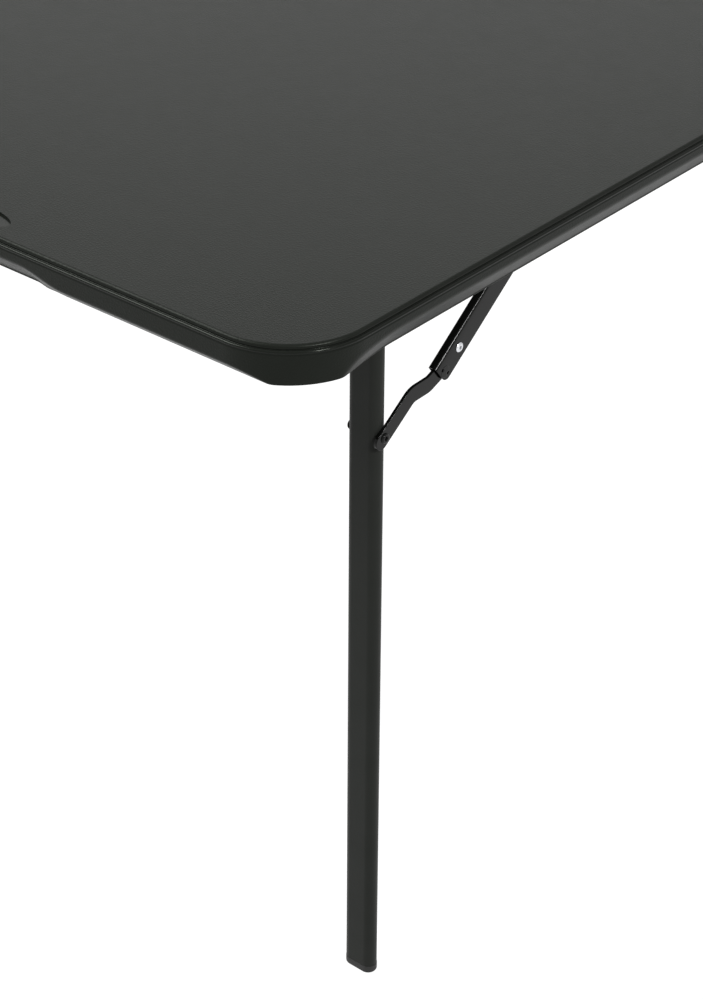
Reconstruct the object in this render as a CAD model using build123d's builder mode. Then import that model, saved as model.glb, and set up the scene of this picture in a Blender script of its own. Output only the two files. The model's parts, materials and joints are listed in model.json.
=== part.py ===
from build123d import *
from math import atan2, cos, degrees, hypot, radians, sin, sqrt
import os

# A long folding table: a blow-moulded resin top and four legs of flat-oval steel tube.
# Every leg folds by itself, along the long side towards the middle, and a two-piece brace locks it.
# The front right corner is built, and the other three are its mirror images.
# Frame: millimetres, +Z up, origin on the floor under the middle of the top.

# ---- top ----
top_length = 2438.4
top_width = 762.0
table_height = 711.2
corner_radius = 78.0
panel_thickness = 20.2
skirt_depth = 34.0
skirt_wall = 17.5
rim_step = 5.0
rim_ledge = 5.5
top_edge_radius = 1.6
ledge_radius = 4.5
cavity_radius = 2.0
# The skirt's lower edge is bevelled: widely along the long sides and in the middle of each end, where
# a hand goes under it, and narrowly along the deep run between that grip and each corner.
wide_bevel_rise = 18.0
wide_bevel_inset = 12.0
narrow_bevel_rise = 10.0
narrow_bevel_inset = 11.0
deep_run = 255.0
blend_run = 36.0
blend_steps = 6
cutter_beyond = 3.0
# Tack-offs: hollow cones that tie the lower skin to the upper one.
tack_columns = 5
tack_rows = 20
tack_spacing = 120.0
tack_mouth_radius = 14.0
tack_foot_radius = 9.0
tack_depth = 12.0
# A bare shallow oval on the upper face, centred beside the front edge.
oval_length = 72.0
oval_width = 30.0
oval_depth = 1.0
oval_from_edge = 28.0

# ---- legs ----
leg_wide = 32.0
leg_thin = 16.0
leg_wall = 1.2
leg_from_side = 28.0
leg_from_corner = 133.1
leg_top_drop = 14.0
cap_height = 8.0
cap_plug_height = 22.0
cap_lip = 0.5
cap_edge_radius = 2.0
plug_gap = 0.1
folded_gap = 2.5

# ---- hinges ----
hinge_plate_thick = 2.0
hinge_plate_across = 46.0
hinge_plate_along = 36.0
hinge_plate_back = 3.0
hinge_plate_corner = 4.0
ear_thick = 2.0
ear_radius = 6.5
ear_gap = 0.4
hinge_pin_radius = 2.6
pin_head_radius = 4.0
pin_head_thick = 1.0
knuckle_wide = 23.0
knuckle_eye_radius = 5.4
knuckle_plug_height = 26.0
knuckle_shoulder = 3.0
knuckle_rivet_drop = 10.0
knuckle_rivet_radius = 2.4
hinge_screw_inset = 4.5

# ---- braces ----
link_thick = 3.0
link_width = 15.0
link_to_leg = 0.5
link_end_beyond = 4.0
link_bend_radius = 16.0
rivet_drop = 111.3
elbow_out = 73.7
elbow_up = 31.6
lower_bend_out = 34.9
lower_bend_up = 24.7
upper_bend_out = 56.9
upper_bend_up = 25.3
channel_slope = 37.5
channel_wide = 9.0
sheet = 1.2
web_offset = 12.9
open_edge_offset = 9.3
inner_edge_offset = 5.9
web_beyond_elbow = 5.9
web_start = 16.0
mouth_corner_radius = 6.0
bend_radius = 1.6
pivot_drop = 5.0
brace_pin_radius = 3.0
leg_rivet_radius = 3.0
leg_rivet_head_radius = 4.6
leg_rivet_head_thick = 1.6
leg_rivet_head_round = 1.0
pin_gap = 0.05
part_gap = 0.3
spring_thick = 0.5
spring_width = 8.0
spring_length = 26.0
spring_rivet_from_elbow = 23.7
spring_rivet_offset = 1.2
spring_rivet_radius = 2.4
spring_rivet_head_radius = 4.4
spring_rivet_head_thick = 1.6
spring_rivet_head_round = 1.3
spring_rivet_tail_thick = 0.9
spring_rivet_tail_radius = 3.4
mount_ear_thick = 3.0
mount_eye_radius = 7.0
mount_plate_thick = 2.0
mount_plate_across = 27.0
mount_plate_along = 30.0
mount_gap = 7.0
mount_screw_near = 12.0
mount_screw_far = 20.0
mount_screw_inset = 8.0
pocket_gap = 1.8
pocket_ceiling_gap = 0.6

# ---- screws ----
screw_head_radius = 3.8
screw_head_thick = 2.0
screw_radius = 2.0
screw_hole_depth = 12.0
screw_tip_gap = 1.0

# ---- heights and places that follow from the sizes above ----
half_length = top_length / 2
half_width = top_width / 2
skirt_bottom = table_height - skirt_depth
underside = table_height - panel_thickness
ledge_height = table_height - rim_step
leg_top = underside - leg_top_drop
leg_across = leg_from_side + leg_wide / 2
leg_inner = leg_from_side + leg_wide
screw_shank_radius = screw_radius - pin_gap
screw_tip = underside + screw_hole_depth - screw_tip_gap
oval_edge = oval_from_edge - half_length

# The brace, in its own fold plane: distance from the corner, and height.
leg_rivet_at = (leg_from_corner, underside - rivet_drop)
elbow_at = (leg_rivet_at[0] + elbow_out, leg_rivet_at[1] + elbow_up)
pivot_height = underside - pivot_drop
channel_length = (pivot_height - elbow_at[1]) / sin(radians(channel_slope))
pivot_at = (elbow_at[0] + channel_length * cos(radians(channel_slope)), pivot_height)
link_length = hypot(elbow_out, elbow_up)

# The leg hinge is where the brace closes at both ends of the fold: the channel lies level under the
# top and the leg lies level just below the skirt.
folded_axis = skirt_bottom - folded_gap - leg_thin / 2
folded_rivet = pivot_at[0] - channel_length + sqrt(link_length**2 - (pivot_height - folded_axis) ** 2)
hinge_sum = folded_rivet + leg_rivet_at[1]
hinge_difference = folded_axis - leg_rivet_at[0]
hinge_at = ((hinge_sum - hinge_difference) / 2, (hinge_sum + hinge_difference) / 2)
hinge_plate_under = hinge_at[1] + knuckle_eye_radius + part_gap
hinge_seat = hinge_plate_under + hinge_plate_thick
hinge_screw_length = screw_tip - hinge_plate_under

# Distances in from the side of the top, which order the brace's layers beside the leg.
link_inner = leg_from_side - link_to_leg
link_outer = link_inner - link_thick
brace_middle = (link_inner + link_outer) / 2
channel_outer = brace_middle - channel_wide / 2
channel_inner = brace_middle + channel_wide / 2
pocket_ceiling = pivot_height + web_offset + pocket_ceiling_gap
pocket_start = pivot_at[0] - channel_length - web_beyond_elbow - pocket_gap
pocket_end = pivot_at[0] + mount_eye_radius + mount_gap
mount_inner = brace_middle + mount_ear_thick / 2
mount_outer = brace_middle - mount_ear_thick / 2
mount_plate_under = underside - mount_plate_thick
mount_screw_length = screw_tip - mount_plate_under
hinge_plate_middle = hinge_at[0] - hinge_plate_back

corner_mirrors = {
    "front_right": [],
    "back_right": [Plane.XZ],
    "back_left": [Plane.XZ, Plane.YZ],
    "front_left": [Plane.YZ],
}


def fold_plane(inward):
    """The plane a leg folds in, so far in from its side: X runs from the corner, Y is height."""
    return Plane(origin=(half_width - inward, -half_length, 0), x_dir=(0, 1, 0), z_dir=(1, 0, 0))


def channel_plane(inward):
    """The fold plane turned to the brace channel: X runs from pivot to elbow, Y away from its web."""
    turn = radians(channel_slope)
    origin = (half_width - inward, pivot_at[0] - half_length, pivot_at[1])
    return Plane(origin=origin, x_dir=(0, -cos(turn), -sin(turn)), z_dir=(1, 0, 0))


def level_plane(inward, along, height):
    """A level plane centred so far in from the long side and so far along from the corner."""
    return Plane(origin=(half_width - inward, along - half_length, height))


def across_plane(inward, along):
    """A plane across a leg's side of the top, so far along from the corner: Y is height."""
    return Plane(origin=(half_width - inward, along - half_length, 0), x_dir=(-1, 0, 0), z_dir=(0, 1, 0))


def in_plan(inward, along):
    """A place in plan, from its distances in from the side and along from the corner."""
    return (half_width - inward, along - half_length)


def at_every_corner(places):
    """Places in plan at the front right corner, with their mirror images at the other three."""
    return [(across * x, along * y) for x, y in places for across in (1, -1) for along in (1, -1)]


def mirrored(part, corner):
    """A part of the front right corner as it is at another corner."""
    for plane in corner_mirrors[corner]:
        part = part.mirror(plane)
    return part


def spot(plane, at, radius):
    """A circle at a place on a plane, for a pin, a rivet head or a hole."""
    with BuildSketch(plane) as circle:
        with Locations(at):
            Circle(radius)
    return circle.sketch


def spots(height, places, radius):
    """Circles at places in plan, for a plate's screws and their holes."""
    with BuildSketch(Plane.XY.offset(height)) as circles:
        with Locations([in_plan(*place) for place in places]):
            Circle(radius)
    return circles.sketch


def drill(circles, depth):
    """Cuts round holes of one depth into the piece being built."""
    extrude(circles, amount=depth, mode=Mode.SUBTRACT)


hinge_screw_places = []
for across in (-1, 1):
    for along in (-1, 1):
        screw_in = leg_across + across * (hinge_plate_across / 2 - hinge_screw_inset)
        screw_along = hinge_plate_middle + along * (hinge_plate_along / 2 - hinge_screw_inset)
        hinge_screw_places.append((screw_in, screw_along))

spring_rivet_at = (channel_length - spring_rivet_from_elbow, -spring_rivet_offset)
mount_plate_start = pocket_end + part_gap
mount_plate_end = mount_plate_start + mount_plate_along
mount_screw_places = [
    (mount_outer + mount_screw_near, mount_plate_start + mount_screw_inset),
    (mount_outer + mount_screw_far, mount_plate_end - mount_screw_inset),
]


# ---- tabletop ----
def side_plane(along):
    """A plane across the right-hand side: X runs inwards from it, Y is height above the skirt's edge."""
    return Plane(origin=(half_width, along, skirt_bottom), x_dir=(-1, 0, 0), z_dir=(0, 1, 0))


def end_plane(across):
    """A plane across the front end: X runs inwards from it, Y is height above the skirt's edge."""
    return Plane(origin=(across, -half_length, skirt_bottom), x_dir=(0, 1, 0), z_dir=(1, 0, 0))


def bevel_section(plane, rise, inset):
    """The triangle that the bevel takes off the skirt's lower edge, in a plane across it."""
    slope_x = inset * cutter_beyond / rise
    with BuildSketch(plane) as section:
        with BuildLine():
            Polyline(
                (-slope_x, rise + cutter_beyond),
                (inset + slope_x, -cutter_beyond),
                (-slope_x - cutter_beyond, -cutter_beyond),
                close=True,
            )
        make_face()
    return section.sketch.face()


def smooth_share(share):
    """An S-curve from 0 to 1, level at both ends."""
    return share * share * (3 - 2 * share)


with BuildPart() as side_cutter:
    side_ends = (-half_length - corner_radius, half_length + corner_radius)
    loft([bevel_section(side_plane(end), wide_bevel_rise, wide_bevel_inset) for end in side_ends], ruled=True)

# Half of the end's bevel, from the middle of the grip out past the corner.
grip_half = half_width - deep_run - blend_run
end_sections = [bevel_section(end_plane(0), wide_bevel_rise, wide_bevel_inset)]
for step in range(blend_steps + 1):
    share = step / blend_steps
    eased = smooth_share(share)
    rise_there = wide_bevel_rise + (narrow_bevel_rise - wide_bevel_rise) * eased
    inset_there = wide_bevel_inset + (narrow_bevel_inset - wide_bevel_inset) * eased
    end_sections.append(bevel_section(end_plane(grip_half + blend_run * share), rise_there, inset_there))
end_beyond = end_plane(half_width + corner_radius)
end_sections.append(bevel_section(end_beyond, narrow_bevel_rise, narrow_bevel_inset))

with BuildPart() as end_cutter:
    loft(end_sections, ruled=True)
    mirror(about=Plane.YZ)

with BuildPart() as tabletop:
    with BuildSketch(Plane.XY.offset(skirt_bottom)):
        RectangleRounded(top_width, top_length, corner_radius)
    extrude(amount=ledge_height - skirt_bottom)
    fillet(tabletop.edges().group_by(Axis.Z)[-1], ledge_radius)
    with BuildSketch(Plane.XY.offset(ledge_height)):
        rim_radius = corner_radius - rim_ledge
        RectangleRounded(top_width - 2 * rim_ledge, top_length - 2 * rim_ledge, rim_radius)
    extrude(amount=rim_step)
    fillet(tabletop.edges().group_by(Axis.Z)[-1], top_edge_radius)
    # The skirt stands round the hollow under the panel.
    with BuildSketch(Plane.XY.offset(skirt_bottom)):
        inner_radius = corner_radius - skirt_wall
        RectangleRounded(top_width - 2 * skirt_wall, top_length - 2 * skirt_wall, inner_radius)
    extrude(amount=underside - skirt_bottom, mode=Mode.SUBTRACT)
    panel_under = tabletop.faces().filter_by(Plane.XY).sort_by(Axis.Z)[1]
    fillet(panel_under.edges(), cavity_radius)
    add(side_cutter.part, mode=Mode.SUBTRACT)
    add(side_cutter.part.mirror(Plane.YZ), mode=Mode.SUBTRACT)
    add(end_cutter.part, mode=Mode.SUBTRACT)
    add(end_cutter.part.mirror(Plane.XZ), mode=Mode.SUBTRACT)
    with BuildSketch(Plane.XY.offset(underside)):
        with GridLocations(tack_spacing, tack_spacing, tack_columns, tack_rows):
            Circle(tack_mouth_radius)
    tack_taper = degrees(atan2(tack_mouth_radius - tack_foot_radius, tack_depth))
    extrude(amount=tack_depth, taper=tack_taper, mode=Mode.SUBTRACT)
    # Each leg has a seat for its hinge plate, a pocket for its folded brace, and screw holes.
    with BuildSketch(Plane.XY.offset(underside)):
        with Locations(at_every_corner([in_plan(leg_across, hinge_plate_middle)])):
            seat_across = hinge_plate_across + 2 * part_gap
            seat_along = hinge_plate_along + 2 * part_gap
            RectangleRounded(seat_across, seat_along, hinge_plate_corner)
    extrude(amount=hinge_seat - underside, mode=Mode.SUBTRACT)
    with BuildSketch(Plane.XY.offset(underside)):
        with Locations(at_every_corner([in_plan(brace_middle, (pocket_start + pocket_end) / 2)])):
            RectangleRounded(channel_wide + 2 * pocket_gap, pocket_end - pocket_start, pocket_gap)
    extrude(amount=pocket_ceiling - underside, mode=Mode.SUBTRACT)
    with BuildSketch(Plane.XY.offset(underside)):
        screw_places = [in_plan(*place) for place in hinge_screw_places + mount_screw_places]
        with Locations(at_every_corner(screw_places)):
            Circle(screw_radius)
    extrude(amount=screw_hole_depth, mode=Mode.SUBTRACT)
    with BuildSketch(Plane.XY.offset(table_height)):
        with Locations((0, oval_edge)):
            Ellipse(oval_length / 2, oval_width / 2)
    extrude(amount=-oval_depth, mode=Mode.SUBTRACT)

# ---- leg tube ----
rivet_bore = leg_rivet_radius + pin_gap
leg_front = across_plane(leg_across, leg_from_corner - leg_thin / 2)
leg_back = across_plane(leg_across, leg_from_corner + leg_thin / 2)
knuckle_rivet_at = (0, leg_top - knuckle_rivet_drop)
knuckle_rivet_bore = knuckle_rivet_radius + pin_gap
with BuildPart() as leg_tube:
    with BuildSketch(level_plane(leg_across, leg_from_corner, cap_height)):
        SlotOverall(leg_wide, leg_thin)
        SlotOverall(leg_wide - 2 * leg_wall, leg_thin - 2 * leg_wall, mode=Mode.SUBTRACT)
    extrude(amount=leg_top - cap_height)
    drill(spot(fold_plane(leg_inner), leg_rivet_at, rivet_bore), leg_wide)
    drill(spot(leg_front, knuckle_rivet_at, knuckle_rivet_bore), leg_thin)

# ---- foot cap: a resin plug pushed into the bottom of the tube ----
plug_wide = leg_wide - 2 * leg_wall - 2 * plug_gap
plug_thin = leg_thin - 2 * leg_wall - 2 * plug_gap
with BuildPart() as foot_cap:
    with BuildSketch(level_plane(leg_across, leg_from_corner, 0)):
        SlotOverall(leg_wide + cap_lip, leg_thin + cap_lip)
    extrude(amount=cap_height)
    fillet(foot_cap.edges().group_by(Axis.Z)[0], cap_edge_radius)
    with BuildSketch(level_plane(leg_across, leg_from_corner, cap_height)):
        SlotOverall(plug_wide, plug_thin)
    extrude(amount=cap_plug_height)

# ---- hinge knuckle: a cast crank plugged into the top of the tube, with an eye for the hinge pin ----
knuckle_inner = leg_across + knuckle_wide / 2
hinge_bore = hinge_pin_radius + pin_gap
with BuildPart() as hinge_knuckle:
    with BuildSketch(level_plane(leg_across, leg_from_corner, leg_top - knuckle_plug_height)):
        SlotOverall(plug_wide, plug_thin)
    extrude(amount=knuckle_plug_height)
    with BuildSketch(level_plane(leg_across, leg_from_corner, leg_top)):
        SlotOverall(leg_wide, leg_thin)
    extrude(amount=knuckle_shoulder)
    with BuildSketch(fold_plane(knuckle_inner)) as crank:
        with Locations(hinge_at):
            Circle(knuckle_eye_radius)
        with Locations((leg_from_corner, leg_top + knuckle_shoulder / 2)):
            Rectangle(leg_thin - 2 * leg_wall, knuckle_shoulder)
        make_hull()
    extrude(amount=knuckle_wide)
    drill(spot(fold_plane(knuckle_inner), hinge_at, hinge_bore), knuckle_wide)
    drill(spot(leg_front, knuckle_rivet_at, knuckle_rivet_bore), leg_thin)

# ---- knuckle rivet: ties the knuckle to the tube ----
with BuildPart() as knuckle_rivet:
    extrude(spot(leg_front, knuckle_rivet_at, knuckle_rivet_radius), amount=leg_thin)
    extrude(spot(leg_front, knuckle_rivet_at, pin_head_radius), amount=-pin_head_thick)
    extrude(spot(leg_back, knuckle_rivet_at, pin_head_radius), amount=pin_head_thick)

# ---- hinge mount: a bent steel plate with two ears, screwed into its seat ----
ears_inner = knuckle_inner + ear_gap + ear_thick
ears_span = knuckle_wide + 2 * ear_gap + 2 * ear_thick
ears_outer = ears_inner - ears_span
with BuildPart() as hinge_mount:
    with BuildSketch(level_plane(leg_across, hinge_plate_middle, hinge_plate_under)):
        RectangleRounded(hinge_plate_across, hinge_plate_along, hinge_plate_corner)
    extrude(amount=hinge_plate_thick)
    for ear_in in (ears_inner, ears_outer + ear_thick):
        with BuildSketch(fold_plane(ear_in)):
            with Locations(hinge_at):
                Circle(ear_radius)
            with Locations((hinge_at[0], (hinge_at[1] + hinge_plate_under) / 2)):
                Rectangle(2 * ear_radius, hinge_plate_under - hinge_at[1])
        extrude(amount=ear_thick)
    drill(spot(fold_plane(ears_inner), hinge_at, hinge_bore), ears_span)
    drill(spots(hinge_plate_under, hinge_screw_places, screw_radius + pin_gap), hinge_plate_thick)

# ---- hinge pin ----
with BuildPart() as hinge_pin:
    pin_inner = fold_plane(ears_inner + part_gap)
    pin_outer = fold_plane(ears_outer - part_gap)
    extrude(spot(pin_inner, hinge_at, hinge_pin_radius), amount=ears_span + 2 * part_gap)
    extrude(spot(pin_inner, hinge_at, pin_head_radius), amount=-pin_head_thick)
    extrude(spot(pin_outer, hinge_at, pin_head_radius), amount=pin_head_thick)

# ---- brace channel: a pressed U of sheet, its web towards the leg and the top ----
brace_bore = brace_pin_radius + pin_gap
spring_rivet_bore = spring_rivet_radius + pin_gap
with BuildPart() as brace_channel:
    with BuildSketch(channel_plane(channel_inner)) as flange:
        with BuildLine():
            Polyline(
                (web_start, -web_offset),
                (channel_length + web_beyond_elbow, -web_offset),
                (channel_length + web_beyond_elbow, open_edge_offset),
                (0, open_edge_offset),
                (-open_edge_offset, 0),
                (0, -open_edge_offset),
                close=True,
            )
        make_face()
        Circle(open_edge_offset)
        mouth = flange.vertices().sort_by(Axis((0, 0, 0), (1, 1, 0)))[-1]
        fillet(mouth, mouth_corner_radius)
    extrude(amount=channel_wide)
    web_face = brace_channel.faces().sort_by(Axis((0, 0, 0), channel_plane(0).y_dir))[0]
    web_edges = web_face.edges().filter_by(Axis((0, 0, 0), channel_plane(0).x_dir))
    fillet(web_edges, bend_radius)
    with BuildSketch(channel_plane(channel_inner - sheet)):
        with Locations((channel_length / 2, 0)):
            Rectangle(2 * channel_length, 2 * (web_offset - sheet))
    extrude(amount=channel_wide - 2 * sheet, mode=Mode.SUBTRACT)
    # The inner flange is narrower and its end is a full round, so that the leg turns past it.
    with BuildSketch(channel_plane(channel_inner)):
        from_corner = (Align.MIN, Align.MIN)
        with Locations((-open_edge_offset, 0)):
            flange_length = open_edge_offset + channel_length + web_beyond_elbow
            Rectangle(flange_length, open_edge_offset, align=from_corner)
            kept_length = open_edge_offset + channel_length
            Rectangle(kept_length, inner_edge_offset, align=from_corner, mode=Mode.SUBTRACT)
        with Locations((channel_length, 0)):
            Circle(inner_edge_offset, mode=Mode.SUBTRACT)
    extrude(amount=sheet, mode=Mode.SUBTRACT)
    for end in ((0, 0), (channel_length, 0)):
        drill(spot(channel_plane(channel_inner), end, brace_bore), channel_wide)
    drill(spot(channel_plane(channel_outer + sheet), spring_rivet_at, spring_rivet_bore), sheet)


# ---- lower link: a flat steel bar with two bends, which nests in the channel when folded ----
rise = hypot(lower_bend_out, lower_bend_up)
link_heel = (
    leg_rivet_at[0] - link_end_beyond * lower_bend_out / rise,
    leg_rivet_at[1] - link_end_beyond * lower_bend_up / rise,
)
lower_bend = (leg_rivet_at[0] + lower_bend_out, leg_rivet_at[1] + lower_bend_up)
upper_bend = (leg_rivet_at[0] + upper_bend_out, leg_rivet_at[1] + upper_bend_up)
link_face = fold_plane(link_inner)
with BuildPart() as lower_link:
    with BuildSketch(link_face):
        with BuildLine():
            FilletPolyline(link_heel, lower_bend, upper_bend, elbow_at, radius=link_bend_radius)
        trace(line_width=link_width)
        with Locations(link_heel, elbow_at):
            Circle(link_width / 2)
    extrude(amount=link_thick)
    drill(spot(link_face, leg_rivet_at, rivet_bore), link_thick)
    drill(spot(link_face, elbow_at, brace_bore), link_thick)

# ---- elbow pin: staked flush in the channel ----
brace_pin_face = fold_plane(channel_inner + part_gap)
brace_pin_length = channel_wide + 2 * part_gap
with BuildPart() as elbow_pin:
    extrude(spot(brace_pin_face, elbow_at, brace_pin_radius), amount=brace_pin_length)

# ---- lock spring: a leaf inside the outer flange, held by a zinc-plated rivet ----
with BuildPart() as lock_spring:
    with BuildSketch(channel_plane(channel_outer + sheet + spring_thick)):
        with Locations(spring_rivet_at):
            SlotOverall(spring_length, spring_width)
            Circle(spring_rivet_bore, mode=Mode.SUBTRACT)
    extrude(amount=spring_thick)

with BuildPart() as spring_rivet:
    flange_face = channel_plane(channel_outer)
    spring_face = channel_plane(channel_outer + sheet + spring_thick)
    extrude(spot(flange_face, spring_rivet_at, spring_rivet_head_radius), amount=spring_rivet_head_thick)
    rivet_rim = spring_rivet.edges().filter_by(GeomType.CIRCLE).group_by(Axis.X)[-1]
    fillet(rivet_rim, spring_rivet_head_round)
    extrude(spot(spring_face, spring_rivet_at, spring_rivet_radius), amount=sheet + spring_thick)
    extrude(spot(spring_face, spring_rivet_at, spring_rivet_tail_radius), amount=-spring_rivet_tail_thick)

# ---- the rivet between link and leg ----
with BuildPart() as link_rivet:
    link_outside = fold_plane(link_outer)
    extrude(spot(link_outside, leg_rivet_at, leg_rivet_head_radius), amount=leg_rivet_head_thick)
    head_rim = link_rivet.edges().filter_by(GeomType.CIRCLE).group_by(Axis.X)[-1]
    fillet(head_rim, leg_rivet_head_round)
    extrude(spot(link_face, leg_rivet_at, leg_rivet_radius), amount=link_thick)

with BuildPart() as leg_rivet:
    leg_face = fold_plane(leg_inner)
    extrude(spot(leg_face, leg_rivet_at, leg_rivet_head_radius), amount=-leg_rivet_head_thick)
    tail_rim = leg_rivet.edges().filter_by(GeomType.CIRCLE).group_by(Axis.X)[0]
    fillet(tail_rim, leg_rivet_head_round)
    extrude(spot(leg_face, leg_rivet_at, leg_rivet_radius), amount=leg_wide + link_to_leg - part_gap)

# ---- brace mount: an angle bracket screwed under the top, its ear between the channel's flanges ----
with BuildPart() as brace_mount:
    with BuildSketch(Plane.XY.offset(mount_plate_under)):
        with Locations(in_plan(mount_outer, mount_plate_start)):
            Rectangle(mount_plate_across, mount_plate_along, align=(Align.MAX, Align.MIN))
    extrude(amount=mount_plate_thick)
    drill(spots(mount_plate_under, mount_screw_places, screw_radius + pin_gap), mount_plate_thick)
    with BuildSketch(fold_plane(mount_inner)):
        with Locations(pivot_at):
            Circle(mount_eye_radius)
        with Locations((mount_plate_start, mount_plate_under)):
            Rectangle(mount_plate_along, mount_eye_radius, align=(Align.MIN, Align.MAX))
        make_hull()
        with Locations((pocket_end - part_gap, underside)):
            above_panel = (Align.MIN, Align.MIN)
            Rectangle(mount_plate_along, mount_eye_radius, align=above_panel, mode=Mode.SUBTRACT)
    extrude(amount=mount_ear_thick)
    drill(spot(fold_plane(mount_inner), pivot_at, brace_bore), mount_ear_thick)

with BuildPart() as brace_pin:
    extrude(spot(brace_pin_face, pivot_at, brace_pin_radius), amount=brace_pin_length)
    extrude(spot(fold_plane(channel_outer - part_gap), pivot_at, pin_head_radius), amount=pin_head_thick)

# ---- screws ----
with BuildPart() as hinge_screw:
    extrude(spots(hinge_plate_under, hinge_screw_places, screw_head_radius), amount=-screw_head_thick)
    extrude(spots(hinge_plate_under, hinge_screw_places, screw_shank_radius), amount=hinge_screw_length)

with BuildPart() as mount_screw:
    extrude(spots(mount_plate_under, mount_screw_places, screw_head_radius), amount=-screw_head_thick)
    extrude(spots(mount_plate_under, mount_screw_places, screw_shank_radius), amount=mount_screw_length)

# ---- files ----
os.makedirs("parts", exist_ok=True)
tabletop.part.label = "tabletop"
export_step(tabletop.part, "parts/tabletop.step")

pieces_by_corner = {
    "leg_tube": leg_tube,
    "foot_cap": foot_cap,
    "hinge_knuckle": hinge_knuckle,
    "knuckle_rivet": knuckle_rivet,
    "leg_rivet": leg_rivet,
    "hinge_mount": hinge_mount,
    "brace_channel": brace_channel,
    "elbow_pin": elbow_pin,
    "lock_spring": lock_spring,
    "spring_rivet": spring_rivet,
    "lower_link": lower_link,
    "link_rivet": link_rivet,
    "brace_mount": brace_mount,
}
for name, piece in pieces_by_corner.items():
    for corner in corner_mirrors:
        corner_piece = mirrored(piece.part, corner)
        corner_piece.label = name + "_" + corner
        export_step(corner_piece, "parts/" + corner_piece.label + ".step")

# Like pins and screws are kept together, one group for all four corners.
pieces_by_group = {
    "hinge_pins": hinge_pin,
    "brace_pins": brace_pin,
    "hinge_screws": hinge_screw,
    "mount_screws": mount_screw,
}
for name, piece in pieces_by_group.items():
    group = Compound(children=[mirrored(piece.part, corner) for corner in corner_mirrors])
    group.label = name
    export_step(group, "parts/" + name + ".step")
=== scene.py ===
import json
from math import radians

import bmesh
import bpy
import numpy as np
from mathutils import Matrix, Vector
from mathutils.geometry import delaunay_2d_cdt


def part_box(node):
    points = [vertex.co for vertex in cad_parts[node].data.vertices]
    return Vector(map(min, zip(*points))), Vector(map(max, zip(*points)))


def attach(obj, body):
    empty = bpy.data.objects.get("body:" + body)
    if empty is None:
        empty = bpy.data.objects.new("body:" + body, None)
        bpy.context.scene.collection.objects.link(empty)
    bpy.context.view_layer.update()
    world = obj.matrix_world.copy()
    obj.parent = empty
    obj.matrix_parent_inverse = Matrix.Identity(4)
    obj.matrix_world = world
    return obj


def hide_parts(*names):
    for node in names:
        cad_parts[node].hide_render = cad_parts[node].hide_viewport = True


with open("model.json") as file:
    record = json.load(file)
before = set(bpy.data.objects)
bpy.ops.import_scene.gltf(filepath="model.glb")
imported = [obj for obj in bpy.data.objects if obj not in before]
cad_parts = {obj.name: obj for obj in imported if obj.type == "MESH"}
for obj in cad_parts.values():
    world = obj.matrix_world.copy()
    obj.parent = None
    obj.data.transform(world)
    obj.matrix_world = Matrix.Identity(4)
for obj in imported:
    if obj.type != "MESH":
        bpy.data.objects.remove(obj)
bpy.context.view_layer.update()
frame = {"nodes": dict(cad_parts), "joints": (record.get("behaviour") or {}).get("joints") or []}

# ---- Camera and studio ----
# A high three-quarter view down onto the front right corner, with a long lens.
# The studio is a pale floor, one large softbox high in front on the left, a small one on the right, and
# one beyond the table that draws a sheen over its top.
lens_data = bpy.data.cameras.new("camera")
lens_data.sensor_fit = "VERTICAL"
lens_data.sensor_height = 36
lens_data.lens = 95.8
lens_data.clip_end = 50
camera = bpy.data.objects.new("camera", lens_data)
camera_axes = Matrix(((0.76385, -0.34892, 0.54294), (0.64537, 0.40621, -0.64690), (0.00517, 0.84454, 0.53547)))
camera.matrix_world = Matrix.Translation((1.5272, -2.5228, 1.6950)) @ camera_axes.to_4x4()
bpy.context.collection.objects.link(camera)
bpy.context.scene.camera = camera
bpy.context.scene.view_settings.view_transform = "Standard"
lamps_aim = np.array((0.15, -0.985, 0.65))


def softbox(name, direction, distance, width, height, power):
    """A rectangular lamp so far from the near end of the top in a direction, turned to face it."""
    lamp_data = bpy.data.lights.new(name, "AREA")
    lamp_data.shape = "RECTANGLE"
    lamp_data.size = width
    lamp_data.size_y = height
    lamp_data.energy = power
    lamp = bpy.data.objects.new(name, lamp_data)
    towards = np.array(direction) / np.linalg.norm(direction)
    side = np.cross((0, 0, 1), towards)
    side = side / np.linalg.norm(side)
    up = np.cross(towards, side)
    axes = Matrix(np.stack([side, up, towards], axis=1).tolist()).to_4x4()
    place = lamps_aim + distance * towards
    lamp.matrix_world = Matrix.Translation(place.tolist()) @ axes
    bpy.context.collection.objects.link(lamp)
    return lamp


softbox("key softbox", (-0.52, -0.42, 0.74), 3.0, 1.9, 1.3, 74)
softbox("right softbox", (0.80, -0.19, 0.55), 3.0, 0.5, 0.5, 46)
softbox("sheen softbox", (-0.60, 0.72, 0.36), 4.2, 2.6, 1.2, 8)


def seen_directly(nodes, links):
    """1 for rays from the camera, from a mirror-like surface or through glass, and 0 for lighting rays."""
    path = nodes.new("ShaderNodeLightPath")
    camera_or_mirror = nodes.new("ShaderNodeMath")
    camera_or_mirror.operation = "MAXIMUM"
    any_of_them = nodes.new("ShaderNodeMath")
    any_of_them.operation = "MAXIMUM"
    links.new(path.outputs["Is Camera Ray"], camera_or_mirror.inputs[0])
    links.new(path.outputs["Is Glossy Ray"], camera_or_mirror.inputs[1])
    links.new(camera_or_mirror.outputs[0], any_of_them.inputs[0])
    links.new(path.outputs["Is Transmission Ray"], any_of_them.inputs[1])
    return any_of_them.outputs[0]


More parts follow.
